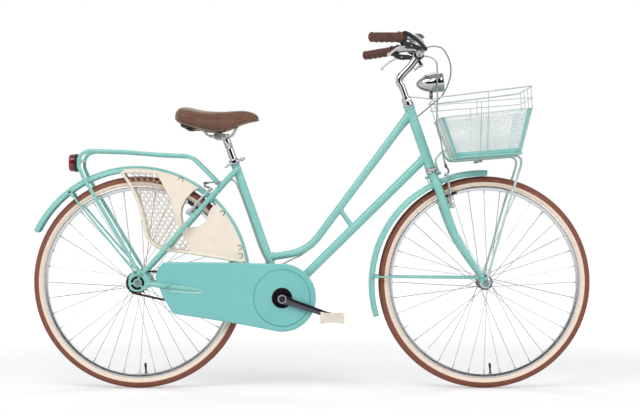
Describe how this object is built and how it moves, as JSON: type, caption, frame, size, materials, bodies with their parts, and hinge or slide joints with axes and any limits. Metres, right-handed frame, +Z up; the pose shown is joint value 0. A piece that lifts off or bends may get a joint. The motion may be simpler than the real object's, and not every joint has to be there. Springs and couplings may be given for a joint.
{
  "type": "bicycle",
  "caption": "Step-through city bicycle with curved upper tube, mudguards, rear carrier, chaincase, skirt guards and a wire front basket; it steers, rolls, pedals and brakes.",
  "frame": {"origin": "centre of the bounding box at ground level", "axes": "+X to the front, +Y to the rider's left, +Z up"},
  "size_m": [1.84, 0.5802, 1.1636],
  "materials": {
    "turquoise_paint": "gloss enamel",
    "chrome": "polished",
    "steel": "satin",
    "dark_steel": "dark, oiled",
    "black_plastic": "satin",
    "brown_rubber": "matte",
    "brown_leather": "soft sheen",
    "cream_vinyl": "soft sheet",
    "tyre_rubber": "brown tread with a cream wall",
    "rim_alloy": "satin",
    "red_plastic": "clear red",
    "clear_lens": "clear, ribbed",
    "pedal_resin": "translucent cream",
    "basket_sheet": "pale grey-green coat",
    "cable_grey": "grey cable housing"
  },
  "bodies": {
    "frame": {"main_frame": "turquoise_paint", "headset_lower_cup": "chrome", "headset_upper_cup": "chrome", "rear_axle": "steel", "rear_mudguard": "turquoise_paint", "rear_mudguard_stay": "turquoise_paint", "rear_carrier": "turquoise_paint", "rear_light_body": "black_plastic", "rear_light_lens": "red_plastic", "chaincase": "turquoise_paint", "skirt_guard_right": "cream_vinyl", "skirt_guard_left": "cream_vinyl", "chain": "dark_steel", "seat_clamp": "chrome", "rear_brake_cable": "cable_grey"},
    "steering": {"fork": "turquoise_paint", "headset_locknut": "chrome", "front_axle": "steel", "stem": "chrome", "handlebar": "chrome", "grip_right": "brown_rubber", "grip_left": "brown_rubber", "lever_bracket_right": "black_plastic", "lever_bracket_left": "black_plastic", "bell": "chrome", "headlight_bracket": "steel", "front_mudguard": "turquoise_paint", "front_mudguard_stay": "turquoise_paint", "basket": "basket_sheet", "basket_panel": "basket_sheet", "basket_carrier": "basket_sheet", "front_brake_cable": "cable_grey"},
    "front_wheel": {"front_hub": "steel", "front_rim": "rim_alloy", "front_tyre": "tyre_rubber"},
    "rear_wheel": {"rear_hub": "steel", "rear_rim": "rim_alloy", "rear_tyre": "tyre_rubber"},
    "freewheel": {"rear_sprocket": "dark_steel"},
    "crank": {"crank_spindle": "steel", "chainring": "dark_steel", "crank_right": "chrome", "crank_left": "chrome"},
    "pedal_right": {"pedal_right": "pedal_resin"},
    "pedal_left": {"pedal_left": "pedal_resin"},
    "seat": {"seatpost": "chrome", "saddle_clamp": "chrome", "saddle_rails": "chrome", "saddle_base": "black_plastic", "saddle_cover": "brown_leather"},
    "brake_lever_right": {"brake_lever_right": "chrome"},
    "brake_lever_left": {"brake_lever_left": "chrome"},
    "front_brake_arm_right": {"front_brake_arm_right": "steel"},
    "front_brake_arm_left": {"front_brake_arm_left": "steel"},
    "rear_brake_arm_right": {"rear_brake_arm_right": "steel"},
    "rear_brake_arm_left": {"rear_brake_arm_left": "steel"},
    "bell_lever": {"bell_lever": "steel"},
    "headlight": {"headlight_shell": "chrome", "headlight_lens": "clear_lens"}
  },
  "joints": [
    {"name": "steering_turn", "type": "hinge", "parent": "frame", "child": "steering", "pos_m": [0.3948, 0, 0.7195], "axis": [-0.3272, 0, 0.9449], "range_deg": [-60, 60], "deforming": ["rear_brake_cable"]},
    {"name": "front_wheel_spin", "type": "hinge", "parent": "steering", "child": "front_wheel", "pos_m": [0.57, 0, 0.35], "axis": [0, 1, 0], "continuous": true},
    {"name": "rear_wheel_spin", "type": "hinge", "parent": "frame", "child": "rear_wheel", "pos_m": [-0.57, 0, 0.35], "axis": [0, 1, 0], "continuous": true},
    {"name": "crank_spin", "type": "hinge", "parent": "frame", "child": "crank", "pos_m": [-0.0965, 0, 0.298], "axis": [0, 1, 0], "continuous": true},
    {"name": "freewheel_spin", "type": "hinge", "parent": "frame", "child": "freewheel", "pos_m": [-0.57, 0, 0.35], "axis": [0, 1, 0], "continuous": true},
    {"name": "pedal_right_spin", "type": "hinge", "parent": "crank", "child": "pedal_right", "pos_m": [0.0661, -0.132, 0.242], "axis": [0, 1, 0], "continuous": true},
    {"name": "pedal_left_spin", "type": "hinge", "parent": "crank", "child": "pedal_left", "pos_m": [-0.2591, 0.122, 0.354], "axis": [0, 1, 0], "continuous": true},
    {"name": "seat_height", "type": "slide", "parent": "frame", "child": "seat", "axis": [-0.3355, 0, 0.942], "range_m": [-0.04, 0.08]},
    {"name": "brake_lever_right_pull", "type": "hinge", "parent": "steering", "child": "brake_lever_right", "pos_m": [0.3129, -0.179, 1.1124], "axis": [-0.6196, 0.7849, 0], "range_deg": [0, 12], "stiffness_Nm_per_rad": 3, "springref_deg": -5.73},
    {"name": "brake_lever_left_pull", "type": "hinge", "parent": "steering", "child": "brake_lever_left", "pos_m": [0.3129, 0.179, 1.1124], "axis": [0.6196, 0.7849, 0], "range_deg": [0, 12], "stiffness_Nm_per_rad": 3, "springref_deg": -5.73, "deforming": ["front_brake_cable"]},
    {"name": "front_brake_right_close", "type": "hinge", "parent": "steering", "child": "front_brake_arm_right", "pos_m": [0.4362, -0.0465, 0.6], "axis": [-0.9919, 0, -0.127], "range_deg": [0, 2.4]},
    {"name": "front_brake_left_close", "type": "hinge", "parent": "steering", "child": "front_brake_arm_left", "pos_m": [0.4362, 0.0465, 0.6], "axis": [0.9919, 0, 0.127], "range_deg": [0, 2.4]},
    {"name": "rear_brake_right_close", "type": "hinge", "parent": "frame", "child": "rear_brake_arm_right", "pos_m": [-0.388, -0.0483, 0.5677], "axis": [-0.7477, 0, 0.664], "range_deg": [0, 2.4]},
    {"name": "rear_brake_left_close", "type": "hinge", "parent": "frame", "child": "rear_brake_arm_left", "pos_m": [-0.388, 0.0483, 0.5677], "axis": [0.7477, 0, -0.664], "range_deg": [0, 2.4]},
    {"name": "bell_lever_push", "type": "hinge", "parent": "steering", "child": "bell_lever", "pos_m": [0.342, -0.09, 1.14], "axis": [-0.3505, -0.1001, 0.9312], "range_deg": [0, 25], "stiffness_Nm_per_rad": 0.08, "springref_deg": -11.46},
    {"name": "headlight_tilt", "type": "hinge", "parent": "steering", "child": "headlight", "pos_m": [0.395, 0, 0.97], "axis": [0, 1, 0], "range_deg": [-15, 15]}
  ],
  "couplings": [
    {"joint": "freewheel_spin", "follows": "crank_spin", "ratio": 2.4444},
    {"joint": "front_brake_right_close", "follows": "brake_lever_left_pull", "ratio": 0.2},
    {"joint": "front_brake_left_close", "follows": "brake_lever_left_pull", "ratio": 0.2},
    {"joint": "rear_brake_right_close", "follows": "brake_lever_right_pull", "ratio": 0.2},
    {"joint": "rear_brake_left_close", "follows": "brake_lever_right_pull", "ratio": 0.2}
  ]
}
